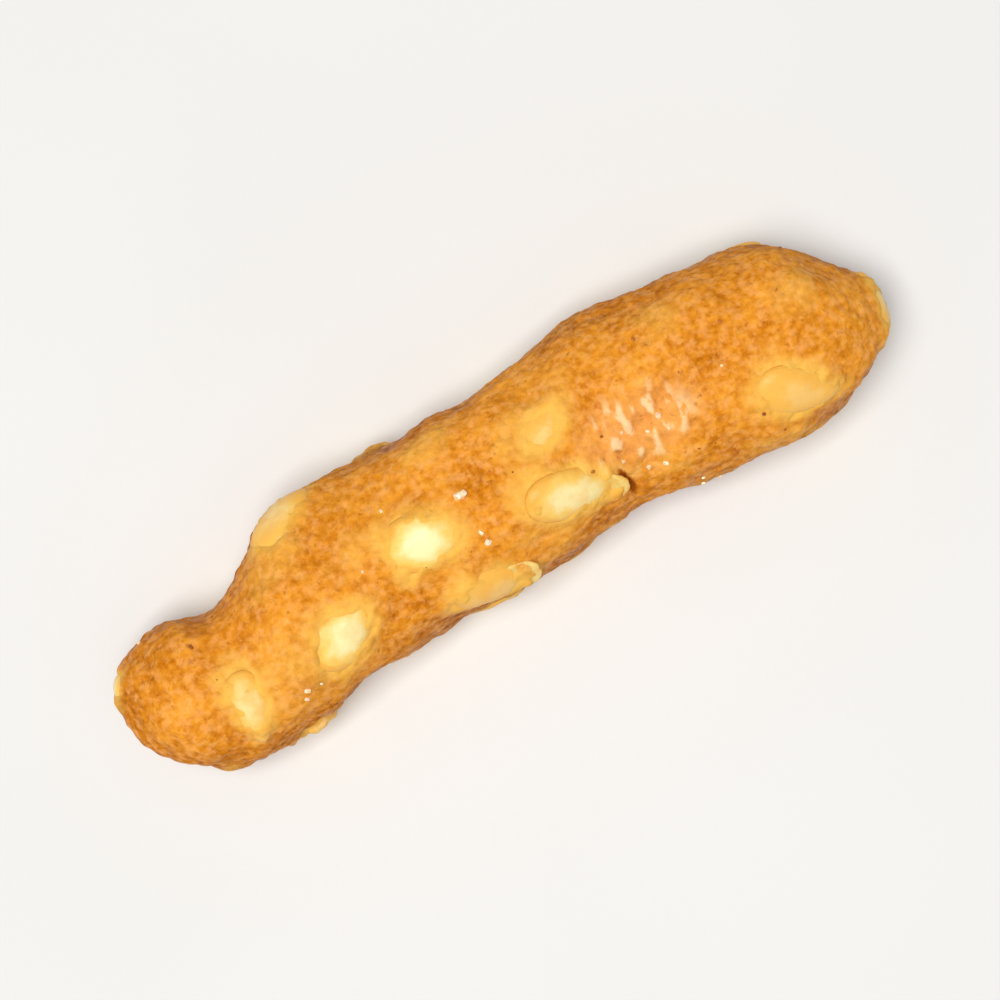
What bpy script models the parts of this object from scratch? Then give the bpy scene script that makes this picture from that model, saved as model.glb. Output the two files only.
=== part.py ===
"""Sesame stick: a short fried strand of seasoned dough with sesame seeds baked into its skin.

The stick lies along +X on its belly, which is flat where it rests on z = 0. The origin is under
the middle of its bounding box. It is one piece of food, so it is one solid: the dough strand
with its seeds and lifted flakes of skin fused on. Lengths are in metres, angles in degrees.
"""

import bisect
import math
import random
from typing import NamedTuple

import bmesh
import bpy
from mathutils import Vector, noise

MM = 0.001
NODE = "sesame_stick"

# The dough strand, measured along its chord from the left tip.
LENGTH = 32.4 * MM
HEIGHT_SHARE = 0.93  # the strand is this much lower than it is wide
LEFT_CAP = 3.0 * MM  # length over which each end rounds off
RIGHT_CAP = 4.0 * MM

# How the middle of the strand sways to the side, its half width, and how far its belly is over
# the floor. Each pair is (distance along, value) in mm, and a smooth curve runs through them.
# A belly below the floor is pressed flat on it.
SWAY = (
    (0.0, -0.9), (3.0, -1.3), (5.0, -1.5), (7.2, -0.45), (9.5, 0.4),
    (13.5, 0.85), (17.0, 1.1), (20.5, 1.95), (25.0, 2.1), (32.4, 1.6),
)
HALF_WIDTH = (
    (0.0, 2.6), (3.0, 3.1), (5.0, 3.0), (7.2, 3.65), (9.5, 3.65),
    (13.5, 3.55), (17.0, 3.65), (20.5, 3.55), (25.5, 3.8), (28.5, 3.6), (32.4, 2.7),
)
BELLY = ((0.0, 0.45), (6.0, -0.22), (16.0, -0.3), (26.0, -0.22), (32.4, 0.75))

# Lumps in the dough: (size of a lump, how far it stands in or out).
LUMPS = ((4.4 * MM, 0.36 * MM), (1.9 * MM, 0.18 * MM))

# Patches where the skin is blistered into crags: (along, around, reach along, reach around).
CRAG_PATCHES = (
    (21.9 * MM, -19.0, 2.2 * MM, 22.0),
    (11.4 * MM, 128.0, 1.8 * MM, 16.0),
    (6.2 * MM, -112.0, 1.8 * MM, 19.0),
)
CRAG_SIZE = 0.95 * MM
CRAG_DEPTH = 0.32 * MM

# The strand's mesh. Rings stand closer together towards the tips.
RINGS = 58
SIDES = 34
RING_CROWDING = 0.72

# A sesame seed: a flat drop, blunt at one end.
SEED_LENGTH = 3.0 * MM
SEED_WIDTH = 1.95 * MM
SEED_THICKNESS = 0.95 * MM
SEED_TAPER = 0.24  # how much narrower the pointed half is than the blunt half
SEED_RINGS = 6
SEED_SIDES = 10
SWELL = 0.34 * MM  # the dough rises this much over a bare seed
SWELL_LOSS = 1.2  # and this share of it less for each seed thickness that the seed is deeper
SWELL_REACH = 1.25  # and reaches this far beyond it, in half seeds
SWELL_DEPTH = 1.6 * MM

# How deep the middle of a seed lies under the skin, in seed thicknesses. A veiled seed has
# dough all over it, so it shows only as a swelling.
BARE = 0.0
SUNK = 0.25
VEILED = 0.5

# Seeds that a rule adds on the flanks, which the placed seeds leave plain. Around runs from
# the first to the second angle on both sides, and each seed gets the best of some random places.
# Above the veil's edge, where the strand is widest, they are veiled.
MORE_SEEDS = 18
FLANK = (86.0, 126.0)
VEIL_EDGE = 114.0
HEADING_SPREAD = 28.0
SIZE_SPREAD = (0.88, 1.08)
SEED_SPACING = 2.7 * MM
END_MARGIN = 3.0 * MM
TRIES = 60
SCATTER = 11

# A flake is a lip of skin that has lifted beside a seed. Its back edge is in the dough, and
# its front edge is torn into teeth.
FLAKE_THICKNESS = 0.34 * MM
FLAKE_SIDES = 12
TOOTH_DEPTH = 0.3  # as a share of the flake
TEETH_FROM = 0.4  # where the teeth begin, as a share of the way from its middle to its front

# Two faces that meet at more than this angle keep a crisp edge between them.
CRISP_ANGLE = 50.0


class Flake(NamedTuple):
    """One lifted lip of skin. It lies like a seed, and its front edge stands up by lift."""

    along: float
    around: float
    heading: float
    length: float
    width: float
    lift: float


FLAKES = (
    Flake(20.2 * MM, -44.0, -10.0, 1.1 * MM, 1.3 * MM, 0.14 * MM),
    Flake(15.9 * MM, -60.0, -16.0, 1.5 * MM, 1.6 * MM, 0.18 * MM),
    Flake(12.6 * MM, 127.0, -8.0, 2.0 * MM, 1.3 * MM, 0.06 * MM),
    Flake(24.4 * MM, -127.0, 12.0, 2.0 * MM, 1.3 * MM, 0.06 * MM),
)


class Seed(NamedTuple):
    """One seed in the skin. Around is 0 on top and grows to the left side, +Y."""

    along: float
    around: float
    heading: float
    depth: float = BARE
    length: float = 1.0
    width: float = 1.0


PLACED_SEEDS = (
    Seed(8.5 * MM, 62.0, 12.0, BARE, length=0.95),
    Seed(13.1 * MM, -7.0, -10.0, BARE, width=1.1),
    Seed(14.7 * MM, -58.0, -18.0, BARE, length=1.1),
    Seed(18.7 * MM, -28.0, -28.0, BARE, length=1.25),
    Seed(18.9 * MM, 13.0, 25.0, SUNK, length=0.8, width=0.8),
    Seed(27.8 * MM, -36.0, -25.0, BARE, length=1.1),
    Seed(9.0 * MM, -31.0, 12.0, BARE, length=1.05, width=1.05),
    Seed(4.8 * MM, -18.0, -98.0, BARE, length=0.95, width=0.8),
    Seed(0.4 * MM, 66.0, 90.0, SUNK, length=0.5, width=0.6),
    Seed(32.3 * MM, 0.0, 90.0, SUNK, length=0.8, width=0.75),
    Seed(7.6 * MM, 32.0, 8.0, VEILED),
    Seed(26.6 * MM, -68.0, -8.0, VEILED),
    Seed(10.6 * MM, 6.0, 35.0, VEILED, length=0.9),
    Seed(24.6 * MM, 38.0, -14.0, VEILED),
    Seed(22.4 * MM, -50.0, 10.0, VEILED, length=0.85),
    Seed(14.6 * MM, 44.0, 20.0, VEILED, length=0.95),
    Seed(29.3 * MM, 24.0, 30.0, VEILED, length=0.85),
)


def clear_scene() -> None:
    """Removes what the startup scene holds."""
    for obj in list(bpy.data.objects):
        bpy.data.objects.remove(obj, do_unlink=True)


def through(points: tuple, at: float) -> float:
    """Value at a distance along a smooth curve through (distance, value) points, all in mm."""
    places = [place for place, _ in points]
    last = len(points) - 1
    low = min(max(bisect.bisect_right(places, at) - 1, 0), last - 1)

    def slope(index: int) -> float:
        before, after = points[max(index - 1, 0)], points[min(index + 1, last)]
        return (after[1] - before[1]) / (after[0] - before[0])

    (x0, y0), (x1, y1) = points[low], points[low + 1]
    span = x1 - x0
    t = min(max((at - x0) / span, 0.0), 1.0)
    return (
        y0 * (2 * t**3 - 3 * t**2 + 1)
        + y1 * (3 * t**2 - 2 * t**3)
        + slope(low) * span * (t**3 - 2 * t**2 + t)
        + slope(low + 1) * span * (t**3 - t**2)
    )


def cap(along: float) -> float:
    """Share of its full girth that the strand has at this distance: 1 but for its round ends."""
    share = 1.0
    for gap, length in ((along, LEFT_CAP), (LENGTH - along, RIGHT_CAP)):
        short = 1.0 - min(gap / length, 1.0)
        share *= math.sqrt(max(1.0 - short * short, 0.0))
    return share


def crag(along: float, around: float) -> float:
    """How much of the crags' full depth the skin has at a place: 1 in the middle of a patch."""
    most = 0.0
    for place, side, reach_along, reach_around in CRAG_PATCHES:
        off_side = (around - side + 180.0) % 360.0 - 180.0
        off = ((along - place) / reach_along) ** 2 + (off_side / reach_around) ** 2
        most = max(most, math.exp(-(off**2)))
    return most


def dough(along: float, around: float) -> Vector:
    """Point of the strand's skin, before the seeds raise it."""
    at = along / MM
    half_width = through(HALF_WIDTH, at) * MM
    half_height = half_width * HEIGHT_SHARE
    middle = Vector((along, through(SWAY, at) * MM, half_height + through(BELLY, at) * MM))
    angle = math.radians(around)
    spoke = Vector((0.0, half_width * math.sin(angle), half_height * math.cos(angle)))
    skin = middle + spoke
    lump = sum(depth * noise.noise(skin / size) for size, depth in LUMPS)
    lump += CRAG_DEPTH * crag(along, around) * noise.noise(skin / CRAG_SIZE)
    return middle + spoke * cap(along) * (1.0 + lump / half_width)


def skin_frame(along: float, around: float) -> tuple:
    """The skin's directions at a point: along the strand, around it, and out of it."""
    step, turn = 0.05 * MM, 1.0
    forward = dough(min(along + step, LENGTH), around) - dough(max(along - step, 0.0), around)
    left = dough(along, around + turn) - dough(along, around - turn)
    out = forward.cross(left).normalized()
    forward.normalize()
    return forward, out.cross(forward), out


def scattered_seeds() -> list:
    """Seeds for the two flanks, each put where it is furthest from all the others."""
    draw = random.Random(SCATTER)
    seeds = list(PLACED_SEEDS)
    for _ in range(MORE_SEEDS):
        best, best_gap = None, SEED_SPACING
        for _ in range(TRIES):
            side = draw.choice((-1.0, 1.0))
            around = draw.uniform(*FLANK)
            depth = draw.choice((BARE, BARE, SUNK))
            trial = Seed(
                along=draw.uniform(END_MARGIN, LENGTH - END_MARGIN),
                around=side * around,
                heading=draw.gauss(0.0, HEADING_SPREAD),
                depth=depth if around > VEIL_EDGE else VEILED,
                length=draw.uniform(*SIZE_SPREAD),
                width=draw.uniform(*SIZE_SPREAD),
            )
            place = dough(trial.along, trial.around)
            gap = min((dough(s.along, s.around) - place).length for s in seeds)
            if gap > best_gap:
                best, best_gap = trial, gap
        if best:
            seeds.append(best)
    return seeds[len(PLACED_SEEDS):]


def lie(piece: Seed | Flake) -> tuple:
    """Where a piece lies: its spot on the skin, and its directions ahead, across and out."""
    forward, left, out = skin_frame(piece.along, piece.around)
    heading = math.radians(piece.heading)
    ahead = forward * math.cos(heading) + left * math.sin(heading)
    return dough(piece.along, piece.around), ahead, out.cross(ahead), out


def swelling(seeds: list) -> list:
    """How much each seed swells the dough, its spot, and its directions divided by its reach."""
    found = []
    for seed in seeds:
        spot, ahead, across, out = lie(seed)
        half_length = 0.5 * SEED_LENGTH * seed.length
        half_width = 0.5 * SEED_WIDTH * seed.width
        reach = (half_length * SWELL_REACH, half_width * SWELL_REACH, SWELL_DEPTH)
        most = SWELL * (1.0 - SWELL_LOSS * seed.depth)
        found.append((most, spot, ahead / reach[0], across / reach[1], out / reach[2]))
    return found


def rise(point: Vector, swells: list) -> float:
    """How far the seeds under the skin raise it at a point."""
    highest = 0.0
    for most, spot, *directions in swells:
        offset = point - spot
        off = sum(offset.dot(direction) ** 2 for direction in directions)
        highest = max(highest, most * math.exp(-off))
    return highest


def add_strand(seeds: list) -> bpy.types.Object:
    """The dough: rings round the swaying middle line, closed by a point at each tip."""
    swells = swelling(seeds)
    mesh = bmesh.new()
    rings = []
    for index in range(1, RINGS):
        share = index / RINGS
        crowding = RING_CROWDING * math.sin(2 * math.pi * share) / (2 * math.pi)
        along = LENGTH * (share - crowding)
        ring = []
        for side in range(SIDES):
            around = 360.0 * side / SIDES
            point = dough(along, around)
            out = skin_frame(along, around)[2]
            point += out * rise(point, swells)
            point.z = max(point.z, 0.0)
            ring.append(mesh.verts.new(point))
        rings.append(ring)
    for near, far in zip(rings, rings[1:]):
        for side in range(SIDES):
            after = (side + 1) % SIDES
            mesh.faces.new((near[side], near[after], far[after], far[side]))
    for along, ring in ((0.0, rings[0]), (LENGTH, rings[-1])):
        tip = mesh.verts.new(dough(along, 0.0))
        for side in range(SIDES):
            mesh.faces.new((tip, ring[side], ring[(side + 1) % SIDES]))
    bmesh.ops.recalc_face_normals(mesh, faces=mesh.faces)
    return add_object(mesh, NODE, bpy.context.scene.collection)


def add_seed(seed: Seed, name: str, collection: bpy.types.Collection) -> bpy.types.Object:
    """One seed, lying in the skin at its own heading and depth."""
    spot, ahead, across, out = lie(seed)
    centre = spot - out * (SEED_THICKNESS * seed.depth)
    mesh = bmesh.new()
    rings = []
    for index in range(1, SEED_RINGS):
        tip = -math.cos(math.pi * index / SEED_RINGS)
        fullness = math.sqrt(1.0 - tip * tip)
        half_width = 0.5 * SEED_WIDTH * seed.width * fullness * (1.0 - SEED_TAPER * tip)
        half_thickness = 0.5 * SEED_THICKNESS * fullness
        middle = centre + ahead * (0.5 * SEED_LENGTH * seed.length * tip)
        angles = [2 * math.pi * side / SEED_SIDES for side in range(SEED_SIDES)]
        rings.append([
            mesh.verts.new(
                middle
                + across * (half_width * math.cos(angle))
                + out * (half_thickness * math.sin(angle))
            )
            for angle in angles
        ])
    for near, far in zip(rings, rings[1:]):
        for side in range(SEED_SIDES):
            after = (side + 1) % SEED_SIDES
            mesh.faces.new((near[side], near[after], far[after], far[side]))
    for sign, ring in ((-1.0, rings[0]), (1.0, rings[-1])):
        tip = mesh.verts.new(centre + ahead * (sign * 0.5 * SEED_LENGTH * seed.length))
        for side in range(SEED_SIDES):
            mesh.faces.new((tip, ring[side], ring[(side + 1) % SEED_SIDES]))
    bmesh.ops.recalc_face_normals(mesh, faces=mesh.faces)
    return add_object(mesh, name, collection)


def add_flake(flake: Flake, name: str, collection: bpy.types.Collection) -> bpy.types.Object:
    """One lip of skin: a toothed plate that slants out of the dough towards its front."""
    spot, ahead, across, out = lie(flake)
    spot += out * (SWELL - 0.5 * FLAKE_THICKNESS)
    mesh = bmesh.new()
    top, under = [], []
    for side in range(FLAKE_SIDES):
        angle = 2 * math.pi * side / FLAKE_SIDES
        in_front = math.cos(angle) > TEETH_FROM
        reach = 1.0 - TOOTH_DEPTH * (side % 2) * in_front
        place = spot + ahead * (0.5 * flake.length * math.cos(angle) * reach)
        place += across * (0.5 * flake.width * math.sin(angle) * reach)
        place += out * (flake.lift * math.cos(angle))
        top.append(mesh.verts.new(place + out * (0.5 * FLAKE_THICKNESS)))
        under.append(mesh.verts.new(place - out * (0.5 * FLAKE_THICKNESS)))
    mesh.faces.new(top)
    mesh.faces.new(reversed(under))
    for side in range(FLAKE_SIDES):
        after = (side + 1) % FLAKE_SIDES
        mesh.faces.new((top[after], top[side], under[side], under[after]))
    bmesh.ops.recalc_face_normals(mesh, faces=mesh.faces)
    bmesh.ops.triangulate(mesh, faces=mesh.faces)
    return add_object(mesh, name, collection)


def add_object(
    mesh: bmesh.types.BMesh, name: str, collection: bpy.types.Collection
) -> bpy.types.Object:
    """Turns a finished bmesh into an object."""
    data = bpy.data.meshes.new(name)
    mesh.to_mesh(data)
    mesh.free()
    obj = bpy.data.objects.new(name, data)
    collection.objects.link(obj)
    return obj


def fuse(strand: bpy.types.Object, collection: bpy.types.Collection) -> None:
    """Joins every piece in a collection to the strand, then removes the loose pieces."""
    union = strand.modifiers.new("Union", "BOOLEAN")
    union.operation = "UNION"
    union.operand_type = "COLLECTION"
    union.collection = collection
    union.solver = "EXACT"
    bpy.context.view_layer.objects.active = strand
    bpy.ops.object.modifier_apply(modifier=union.name)
    for piece in list(collection.objects):
        bpy.data.objects.remove(piece, do_unlink=True)
    bpy.data.collections.remove(collection)


def fill_hollows(obj: bpy.types.Object) -> None:
    """Keeps only the outer shell, so a hollow sealed under a flake is filled with dough."""
    mesh = bmesh.new()
    mesh.from_mesh(obj.data)
    unseen = set(mesh.verts)
    shells = []
    while unseen:
        shell = {unseen.pop()}
        front = list(shell)
        while front:
            vertex = front.pop()
            reached = {edge.other_vert(vertex) for edge in vertex.link_edges} - shell
            shell |= reached
            front.extend(reached)
        unseen -= shell
        shells.append(shell)
    outer = max(shells, key=len)
    bmesh.ops.delete(mesh, geom=[v for v in mesh.verts if v not in outer], context="VERTS")
    mesh.to_mesh(obj.data)
    mesh.free()


def centre_over_origin(obj: bpy.types.Object) -> None:
    """Moves the mesh so that the middle of its box is over the origin. Its height stays."""
    for axis in (0, 1):
        places = [vertex.co[axis] for vertex in obj.data.vertices]
        middle = 0.5 * (min(places) + max(places))
        for vertex in obj.data.vertices:
            vertex.co[axis] -= middle


def fried_dough() -> bpy.types.Material:
    """Golden brown, with the slight shine of frying oil."""
    material = bpy.data.materials.new("fried_dough")
    material.use_nodes = True
    shader = material.node_tree.nodes["Principled BSDF"]
    shader.inputs["Base Color"].default_value = (0.72, 0.33, 0.075, 1.0)
    shader.inputs["Roughness"].default_value = 0.5
    return material


def main() -> None:
    """Builds the stick."""
    clear_scene()
    seeds = list(PLACED_SEEDS) + scattered_seeds()
    strand = add_strand(seeds)
    collection = bpy.data.collections.new("seeds_and_flakes")
    bpy.context.scene.collection.children.link(collection)
    for number, seed in enumerate(seeds):
        if seed.depth < VEILED:
            add_seed(seed, f"seed_{number:02d}", collection)
    for number, flake in enumerate(FLAKES):
        add_flake(flake, f"flake_{number:02d}", collection)
    fuse(strand, collection)
    fill_hollows(strand)
    centre_over_origin(strand)
    strand.data.materials.append(fried_dough())
    strand.data.shade_smooth()
    strand.data.set_sharp_from_angle(angle=math.radians(CRISP_ANGLE))


main()
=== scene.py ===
"""Looks of a fried sesame stick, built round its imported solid.

The dough is the solid's own form, remeshed fine and given its blisters, crags and the seats
of its seeds. The seeds, the torn flakes of skin, the bran and the salt are pieces of their
own. Pieces are modelled in millimetres and shrunk to metres when they are done.
"""

import bisect
import logging
import math
import random
from collections.abc import Callable, Iterator
from contextlib import contextmanager
from dataclasses import dataclass, field
from enum import Enum

import bpy
import numpy as np
from bpy.types import Material, Node, NodeSocket, Object
from mathutils import Matrix, Vector, noise
from mathutils.bvhtree import BVHTree


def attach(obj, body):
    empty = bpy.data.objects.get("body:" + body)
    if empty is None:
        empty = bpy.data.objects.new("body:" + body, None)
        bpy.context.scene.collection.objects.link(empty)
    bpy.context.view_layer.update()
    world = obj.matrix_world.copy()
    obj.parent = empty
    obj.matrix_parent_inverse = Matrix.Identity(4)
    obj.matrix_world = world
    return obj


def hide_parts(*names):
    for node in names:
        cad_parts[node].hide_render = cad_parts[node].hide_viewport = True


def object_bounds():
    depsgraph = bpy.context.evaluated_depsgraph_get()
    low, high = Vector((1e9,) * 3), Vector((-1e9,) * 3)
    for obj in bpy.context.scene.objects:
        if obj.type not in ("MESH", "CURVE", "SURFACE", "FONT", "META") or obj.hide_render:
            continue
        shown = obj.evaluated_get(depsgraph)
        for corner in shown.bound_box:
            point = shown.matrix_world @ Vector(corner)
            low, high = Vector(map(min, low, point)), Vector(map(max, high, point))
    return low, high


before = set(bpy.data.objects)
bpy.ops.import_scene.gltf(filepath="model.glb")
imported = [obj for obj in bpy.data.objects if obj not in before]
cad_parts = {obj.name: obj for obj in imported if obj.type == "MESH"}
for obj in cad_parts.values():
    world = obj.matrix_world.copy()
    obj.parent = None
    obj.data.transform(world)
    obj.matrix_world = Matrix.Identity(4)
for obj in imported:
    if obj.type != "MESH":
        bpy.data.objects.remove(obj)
CAD_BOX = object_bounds()

LOG = logging.getLogger("sesame_stick")
NODE = "sesame_stick"
BODY = "root"
MM = 0.001

# The middle of the stick's box in the strand's own measure, which starts at its left tip.
BOX_MIDDLE = Vector((16.2874, 0.6824, 0.0))


def srgb(*levels: int) -> tuple[float, ...]:
    """Turns a colour as a screen shows it into the linear one that shaders use.

    Args:
        levels: Its red, green and blue, from 0 to 255.

    Returns:
        Its red, green, blue and alpha, from 0 to 1.
    """
    shares = (level / 255.0 for level in levels)
    linear = (s / 12.92 if s <= 0.04045 else ((s + 0.055) / 1.055) ** 2.4 for s in shares)
    return (*linear, 1.0)


def smooth_step(low: float, high: float, value: np.ndarray) -> np.ndarray:
    """Rises smoothly from 0 at low to 1 at high."""
    share = np.clip((value - low) / (high - low), 0.0, 1.0)
    return share * share * (3.0 - 2.0 * share)


# --- Working with Blender's operators ---


def pick(obj: Object) -> None:
    """Selects one object alone and makes it active.

    Args:
        obj: The object.
    """
    bpy.ops.object.select_all(action="DESELECT")
    obj.select_set(True)
    bpy.context.view_layer.objects.active = obj


def primitive(add: Callable[..., object], name: str, **settings: object) -> Object:
    """Adds one of Blender's primitives at the origin.

    Args:
        add: The operator that adds it.
        name: The new object's name.
        settings: The operator's settings, by name.

    Returns:
        The new object.
    """
    add(**settings)
    obj = bpy.context.object
    obj.name = name
    return obj


@contextmanager
def mesh_open(obj: Object) -> Iterator[None]:
    """Opens an object's mesh for editing with all of it selected, and closes it again.

    Args:
        obj: The object.
    """
    pick(obj)
    bpy.ops.object.mode_set(mode="EDIT")
    bpy.ops.mesh.select_all(action="SELECT")
    yield
    bpy.ops.object.mode_set(mode="OBJECT")


def bake_modifier(obj: Object, kind: str, **settings: object) -> None:
    """Adds a modifier, sets it up and applies it.

    Args:
        obj: The object that gets it.
        kind: The modifier's type.
        settings: Its properties, by name.
    """
    modifier = obj.modifiers.new(kind.title(), kind)
    for name, value in settings.items():
        setattr(modifier, name, value)
    pick(obj)
    bpy.ops.object.modifier_apply(modifier=modifier.name)


def points_of(obj: Object) -> np.ndarray:
    """The places of a mesh's points, one row each."""
    return np.array([point.co for point in obj.data.vertices])


def normals_of(obj: Object) -> np.ndarray:
    """The outward directions at a mesh's points, one row each."""
    return np.array([normal.vector for normal in obj.data.vertex_normals])


def move_points(obj: Object, places: np.ndarray) -> None:
    """Puts a mesh's points at new places."""
    obj.data.vertices.foreach_set("co", places.astype(np.float32).ravel())
    obj.data.update()


def paint(obj: Object, name: str, values: np.ndarray) -> None:
    """Stores one number for each point of a mesh, which a material reads by that name."""
    layer = obj.data.attributes.new(name, "FLOAT", "POINT")
    layer.data.foreach_set("value", values.astype(np.float32))


def joined(objects: list[Object], name: str) -> Object:
    """Joins several objects into the first.

    Args:
        objects: What is joined.
        name: The name of the whole.

    Returns:
        The whole.
    """
    pick(objects[0])
    for obj in objects:
        obj.select_set(True)
    bpy.ops.object.join()
    whole = bpy.context.view_layer.objects.active
    whole.name = whole.data.name = name
    return whole


def placed_copy(pattern: Object, place: Matrix) -> Object:
    """Copies an object, with a mesh of its own.

    Args:
        pattern: What is copied.
        place: Where the copy goes, how it is turned and how large it is.

    Returns:
        The copy.
    """
    mesh = pattern.data.copy()
    mesh.transform(place)
    obj = bpy.data.objects.new(pattern.name, mesh)
    bpy.context.scene.collection.objects.link(obj)
    return obj


def finish_piece(obj: Object, finish: "Finish", smooth: bool = True) -> None:
    """Shrinks a piece from millimetres to metres, dresses it and lets it ride on the stick.

    Args:
        obj: The piece, modelled in millimetres.
        finish: What it is made of.
        smooth: Whether it is shaded smooth. Crystals keep their facets.
    """
    pick(obj)
    obj.scale = (MM, MM, MM)
    bpy.ops.object.transform_apply(location=False, rotation=False, scale=True)
    if smooth:
        bpy.ops.object.shade_smooth()
    obj.data.materials.clear()
    obj.data.materials.append(finish.material())
    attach(obj, BODY)
    LOG.info("%s: %d faces", obj.name, len(obj.data.polygons))


# --- Where things are on the strand ---


class Cover(Enum):
    """How deep the middle of a seed lies under the skin, in seed thicknesses."""

    BARE = 0.0
    SUNK = 0.25
    VEILED = 0.5


@dataclass(frozen=True)
class Seed:
    """One seed, in mm and degrees. Around is 0 on top and grows to the left side, +Y.

    Toast is how golden it is, from 0 to 1.
    """

    along: float
    around: float
    heading: float
    cover: Cover = Cover.BARE
    length: float = 1.0
    width: float = 1.0
    toast: float = 0.2


@dataclass(frozen=True)
class Flake:
    """One torn lip of skin, in mm and degrees. Its front edge stands up by lift.

    Swell is how high the skin rises there over the seed beneath.
    """

    along: float
    around: float
    heading: float
    length: float
    width: float
    lift: float
    swell: float = 0.34


@dataclass(frozen=True)
class Patch:
    """A patch of skin, in mm and degrees, and how far it reaches ahead and across."""

    along: float
    around: float
    heading: float
    ahead: float
    across: float


@dataclass(frozen=True)
class Cluster:
    """Grains that lie together: how far they spread, how many and how large they are, in mm."""

    along: float
    around: float
    spread: float
    count: int
    size: tuple = (0.1, 0.24)


@dataclass(frozen=True)
class Waves:
    """A layer of smooth noise: its strength, a lump's size in mm, and its shift in lumps."""

    strength: float
    size: float
    shift: float = 0.0

    def shape(self, places: np.ndarray) -> np.ndarray:
        """The layer at each point, from about -1 to 1."""
        moved = places / self.size + self.shift
        return np.array([noise.noise(Vector(point)) for point in moved])

    def at(self, places: np.ndarray) -> np.ndarray:
        """The layer at each point, times its strength."""
        return self.strength * self.shape(places)


@dataclass(frozen=True)
class Fade:
    """A smooth change from nothing at one value to a strength at another."""

    none_at: float
    full_at: float
    strength: float

    def at(self, value: np.ndarray) -> np.ndarray:
        """How much is left at each value."""
        return self.strength * smooth_step(self.none_at, self.full_at, value)


@dataclass(frozen=True)
class Spot:
    """A place on the skin with its directions ahead, across and out."""

    point: Vector
    ahead: Vector
    across: Vector
    out: Vector

    def matrix(self, raised: float = 0.0) -> Matrix:
        """Stands a thing modelled along +X with +Z up on this spot, raised by so much."""
        turned = Matrix((self.ahead, self.across, self.out)).transposed().to_4x4()
        return Matrix.Translation(self.point + self.out * raised) @ turned

    def measured(self, places: np.ndarray) -> list[np.ndarray]:
        """How far ahead of the spot, across and out from it each point is."""
        offset = places - np.array(self.point)
        return [offset @ np.array(axis) for axis in (self.ahead, self.across, self.out)]


@dataclass(frozen=True)
class Strand:
    """The dough's line, girth and lumps, as the solid has them, in mm from the left tip."""

    length: float = 32.4
    height_share: float = 0.93
    left_cap: float = 3.0
    right_cap: float = 4.0
    sway: tuple = (
        (0.0, -0.9), (3.0, -1.3), (5.0, -1.5), (7.2, -0.45), (9.5, 0.4),
        (13.5, 0.85), (17.0, 1.1), (20.5, 1.95), (25.0, 2.1), (32.4, 1.6),
    )
    half_width: tuple = (
        (0.0, 2.6), (3.0, 3.1), (5.0, 3.0), (7.2, 3.65), (9.5, 3.65),
        (13.5, 3.55), (17.0, 3.65), (20.5, 3.55), (25.5, 3.8), (28.5, 3.6), (32.4, 2.7),
    )
    belly: tuple = ((0.0, 0.45), (6.0, -0.22), (16.0, -0.3), (26.0, -0.22), (32.4, 0.75))
    lumps: tuple = ((4.4, 0.36), (1.9, 0.18))

    @staticmethod
    def through(points: tuple, at: float) -> float:
        """Reads a smooth curve through points.

        Args:
            points: Pairs of a distance and a value.
            at: The distance to read it at.

        Returns:
            The value there.
        """
        places = [place for place, _ in points]
        last = len(points) - 1
        low = min(max(bisect.bisect_right(places, at) - 1, 0), last - 1)

        def slope(index: int) -> float:
            """How steeply the curve runs through one of its points."""
            before, after = points[max(index - 1, 0)], points[min(index + 1, last)]
            return (after[1] - before[1]) / (after[0] - before[0])

        (x0, y0), (x1, y1) = points[low], points[low + 1]
        span = x1 - x0
        t = min(max((at - x0) / span, 0.0), 1.0)
        return (
            y0 * (2 * t**3 - 3 * t**2 + 1)
            + y1 * (3 * t**2 - 2 * t**3)
            + slope(low) * span * (t**3 - 2 * t**2 + t)
            + slope(low + 1) * span * (t**3 - t**2)
        )

    def cap(self, along: float) -> float:
        """Works out the round ends.

        Args:
            along: Distance from the left tip, in mm.

        Returns:
            The share of its full girth that the strand has here.
        """
        share = 1.0
        for gap, length in ((along, self.left_cap), (self.length - along, self.right_cap)):
            short = 1.0 - min(gap / length, 1.0)
            share *= math.sqrt(max(1.0 - short * short, 0.0))
        return share

    def skin(self, along: float, around: float) -> Vector:
        """Finds a point of the strand's skin, before the seeds raise it.

        Args:
            along: Distance from the left tip, in mm.
            around: Angle round the strand, 0 on top.

        Returns:
            The point, in the frame's millimetres.
        """
        half_width = self.through(self.half_width, along)
        half_height = half_width * self.height_share
        height = half_height + self.through(self.belly, along)
        middle = Vector((along, self.through(self.sway, along), height))
        angle = math.radians(around)
        spoke = Vector((0.0, half_width * math.sin(angle), half_height * math.cos(angle)))
        point = middle + spoke
        lump = sum(depth * noise.noise(point / size) for size, depth in self.lumps)
        return middle + spoke * self.cap(along) * (1.0 + lump / half_width) - BOX_MIDDLE

    def spot(self, along: float, around: float, heading: float) -> Spot:
        """The place where something lies on the skin.

        Args:
            along: Distance from the left tip, in mm.
            around: Angle round the strand, 0 on top.
            heading: Its own turn from the strand's line, in degrees.

        Returns:
            The spot, in the frame's millimetres.
        """
        step, turn = 0.05, 1.0
        after = self.skin(min(along + step, self.length), around)
        forward = after - self.skin(max(along - step, 0.0), around)
        left = self.skin(along, around + turn) - self.skin(along, around - turn)
        out = forward.cross(left).normalized()
        forward.normalize()
        left = out.cross(forward)
        angle = math.radians(heading)
        ahead = forward * math.cos(angle) + left * math.sin(angle)
        return Spot(self.skin(along, around), ahead, out.cross(ahead), out)


# --- Finishes ---


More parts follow.
